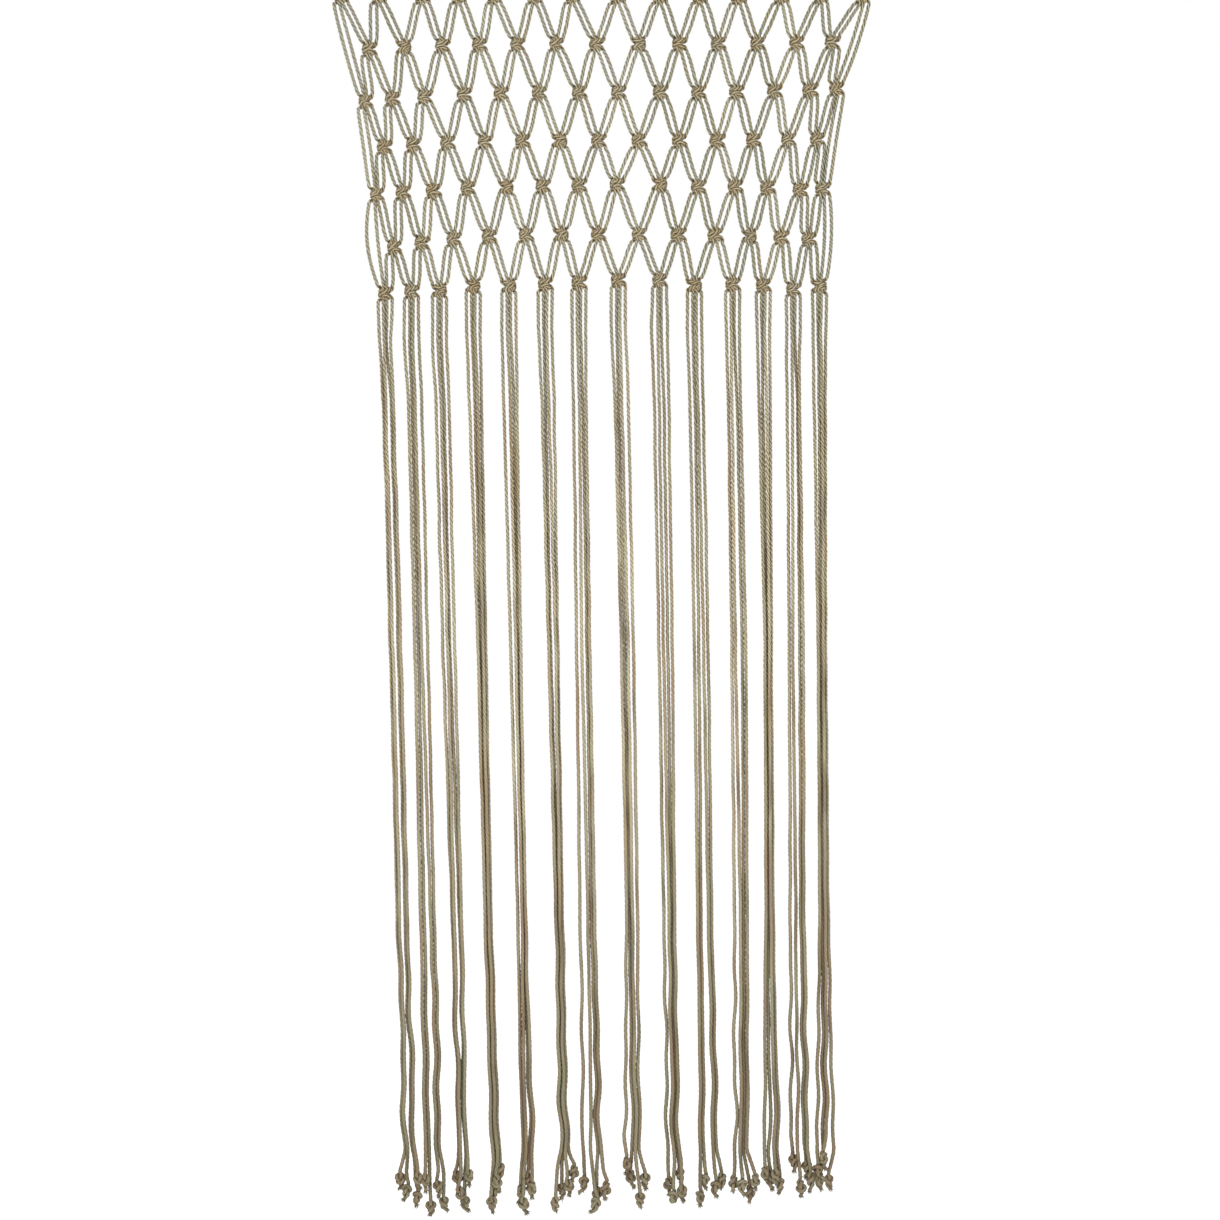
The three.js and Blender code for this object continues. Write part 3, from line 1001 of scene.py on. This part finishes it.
def node(tree, kind, settings=None, inputs=(), output=0):
    """A new node: its type, its settings, then values or links for its sockets."""
    made_node = tree.nodes.new(kind)
    for key, value in (settings or {}).items():
        setattr(made_node, key, value)
    items = inputs.items() if isinstance(inputs, dict) else enumerate(inputs)
    for key, value in items:
        if isinstance(value, Wire):
            tree.links.new(value.socket, made_node.inputs[key])
        else:
            made_node.inputs[key].default_value = value
    return Wire(tree, made_node.outputs[output])


print("made a wire for sums, differences and products")

# %% Colours of the jute
def colour_mix(tree, factor, first, second):
    """One colour that goes to another as the factor goes from 0 to 1."""
    inputs = {"Factor": factor, 6: first, 7: second}
    return node(tree, "ShaderNodeMix", {"data_type": "RGBA"}, inputs, 2)


# The shade colour is the colour of the painted shade in the grooves and between touching cords.
COLOURS = ("base", "straw", "brown", "grey", "shade")
KNOTTED = dict(zip(COLOURS, ((0.292, 0.29, 0.208, 1), (0.43, 0.415, 0.31, 1), (0.385, 0.3, 0.17, 1),
                             (0.33, 0.32, 0.265, 1), (0.075, 0.06, 0.032, 1))))
HANGING = dict(zip(COLOURS, ((0.345, 0.312, 0.19, 1), (0.49, 0.425, 0.285, 1),
                             (0.315, 0.225, 0.138, 1), (0.35, 0.315, 0.24, 1),
                             (0.075, 0.06, 0.032, 1))))
STAIN = (0.13, 0.098, 0.052, 1)
# A darker olive and brown that the strands turn to towards the floor.
OLIVE_BELOW = (0.084, 0.081, 0.047, 1)
BROWN_BELOW = (0.118, 0.083, 0.053, 1)
print("straw of the net:", KNOTTED["straw"])

# %% The jute material
# HUNG_RAMP is where the net's colours give way to the strands', LOW_RAMP where they turn darker.
HUNG_RAMP = (-0.45, -0.75)
LOW_RAMP = (-1.0, -1.8)
BELOW_SHARE = 0.62
ROUGHNESS = 0.92
SPECULAR = 0.15


def jute(name):
    """Dry jute cord, paler and greener in the net, browner where it hangs and near the floor."""
    material = bpy.data.materials.new(name)
    material.use_nodes = True
    tree = material.node_tree
    shader = next(n for n in tree.nodes if n.type == "BSDF_PRINCIPLED")
    groove, tone, tied, hue, painted_crevice_shade = (
        node(tree, "ShaderNodeAttribute", {"attribute_name": label}, output=2)
        for label in ("groove", "tone", "tied", "hue", "painted_crevice_shade"))
    uv = node(tree, "ShaderNodeUVMap", {"uv_map": "rope"})
    place = node(tree, "ShaderNodeTexCoord", output=3)

    def noise(vector, scale, detail, stretch=(1, 1, 1), shift=(0, 0, 0)):
        moved = node(tree, "ShaderNodeMapping",
                     inputs={"Vector": vector, "Scale": stretch, "Location": shift})
        return node(tree, "ShaderNodeTexNoise", {},
                    {"Vector": moved, "Scale": scale, "Detail": detail}) - 0.5

    def ramp(start, end, kind="LINEAR"):
        height = node(tree, "ShaderNodeSeparateXYZ", inputs=[place], output=2)
        return node(tree, "ShaderNodeMapRange", {"interpolation_type": kind},
                    [height, start, end, 0.0, 1.0])

    fibres = noise(uv, 1.0, 4.0, stretch=(50, 5, 1))
    patches = noise(place, 22.0, 2.0)
    specks = noise(place, 420.0, 2.0)
    hues = noise(place, 1.0, 1.0, stretch=(75, 75, 7))
    greys = noise(place, 1.0, 1.0, stretch=(60, 60, 6), shift=(9, 4, 2))
    stains = noise(place, 1.0, 2.0, stretch=(90, 90, 9), shift=(3, 8, 5))
    hung, low = ramp(*HUNG_RAMP), ramp(*LOW_RAMP)
    worn = ramp(WORN_FROM, WORN_TO, "SMOOTHSTEP")
    fresh = 1.0 - worn
    base, straw, brown, grey, shade = (
        colour_mix(tree, hung, KNOTTED[key], HANGING[key]) for key in COLOURS)
    light = 0.42 + tone * 0.34 + tied * 0.6 + patches * 1.3 + fibres * 1.2
    colour = colour_mix(tree, light, base, straw)
    warm = (hues * (1.2 + 1.2 * hung) + hue * (0.05 + 0.21 * hung)
            + tied * (0.6 - 0.5 * low) + 0.15 + 0.12 * hung)
    colour = colour_mix(tree, warm, colour, brown)
    dull = (greys * 3.0 + 0.2) * (1.0 - 0.6 * low) * (1.0 - 0.8 * tied)
    colour = colour_mix(tree, dull, colour, grey)
    stained = (stains * 4.0 - 0.12) * hung * (0.5 + 0.5 * worn)
    colour = colour_mix(tree, stained, colour, STAIN)
    # Painted shade in the grooves between the plies.
    in_groove = groove * (1.1 + 0.3 * tied * fresh - 0.75 * worn)
    # Painted shade where other cords lie close against the cord.
    painted_crevice_darkening = painted_crevice_shade * (0.5 + 1.0 * tied * fresh + 0.4 * hung + 0.5 * worn)
    # The specks darken and lighten the jute itself; the rest of this sum is painted shade.
    painted_shade_and_specks = in_groove + painted_crevice_darkening + specks * 0.5
    colour = colour_mix(tree, painted_shade_and_specks, colour, shade)
    # Towards the floor the colour goes over to a darker olive and brown.
    colour_below = colour_mix(tree, hues * 3.5 + hue * 0.2 + 0.5, OLIVE_BELOW, BROWN_BELOW)
    colour = colour_mix(tree, low * BELOW_SHARE, colour, colour_below)
    tree.links.new(colour.socket, shader.inputs["Base Color"])
    bump = node(tree, "ShaderNodeBump", {},
                {"Height": fibres * 0.7 + specks * 0.3, "Strength": 0.8, "Distance": 0.0008})
    tree.links.new(bump.socket, shader.inputs["Normal"])
    shader.inputs["Roughness"].default_value = ROUGHNESS
    shader.inputs["Specular IOR Level"].default_value = SPECULAR
    return material


dry_jute = jute("dry_jute")
for piece in made.values():
    piece.data.materials.append(dry_jute)
print("material:", dry_jute.name)

# %% [markdown]
# ## The net's surface
# The knotted part is the one piece of openwork cloth here. It is a sheet that hangs, and the
# heading, the lower knots and the strand groups belong to it. Half the surface of its cords is
# printed.

surface = sum(f.area for f in made["net_cords"].data.polygons) / 2
print("half of the net cords' surface:", round(surface, 3), "square metres")

# %% [markdown]
# ## Stage and light
# The photograph has plain white behind the curtain, so the floor is white and without an
# edge. A broad soft light stands near the camera, a second one evens out the right side, and
# the sky gives the rest. Camera rays see the sky as pure white, and the cords get less of
# it from behind, which keeps their edges darker than their middles.

# %% Floor
FLOOR_Z = -2.06
bpy.ops.object.select_all(action="DESELECT")
bpy.ops.mesh.primitive_plane_add(size=14, location=(0, 0, FLOOR_Z))
floor = bpy.context.object
floor.name = "floor"
paper = bpy.data.materials.new("white_paper")
paper.use_nodes = True
paper_shader = next(n for n in paper.node_tree.nodes if n.type == "BSDF_PRINCIPLED")
paper_shader.inputs["Base Color"].default_value = (0.9, 0.9, 0.9, 1)
paper_shader.inputs["Roughness"].default_value = 0.9
paper_shader.inputs["Emission Color"].default_value = (1, 1, 1, 1)
paper_shader.inputs["Emission Strength"].default_value = 0.55
floor.data.materials.append(paper)
print("floor at", FLOOR_Z)

# %% Lights
SKY = 0.5


def soft_light(name, size, watts, place, aim):
    """A square soft light that looks at a point."""
    light = bpy.data.lights.new(name, "AREA")
    light.shape = "SQUARE"
    light.size = size
    light.energy = watts
    lamp = bpy.data.objects.new(name, light)
    lamp.location = place
    direction = np.array(aim) - np.array(place)
    flat = math.hypot(direction[0], direction[1])
    lamp.rotation_euler = (math.atan2(flat, -direction[2]), 0,
                           math.atan2(direction[1], direction[0]) - math.pi / 2)
    bpy.context.collection.objects.link(lamp)
    return lamp


soft_light("key", 2.2, 110, (-1.3, -3.6, 0.4), (0, 0, -1.0))
soft_light("fill", 2.2, 60, (2.2, -3.4, -0.6), (0, 0, -1.1))
world = bpy.data.worlds.new("studio")
bpy.context.scene.world = world
world.use_nodes = True
sky_tree = world.node_tree
background = next(n for n in sky_tree.nodes if n.type == "BACKGROUND")
seen = node(sky_tree, "ShaderNodeLightPath")
strength = seen * (1.0 - SKY) + SKY
sky_tree.links.new(strength.socket, background.inputs["Strength"])
background.inputs["Color"].default_value = (1, 1, 1, 1)
bpy.context.scene.view_settings.view_transform = "Standard"
print("two soft lights and a sky of", SKY)
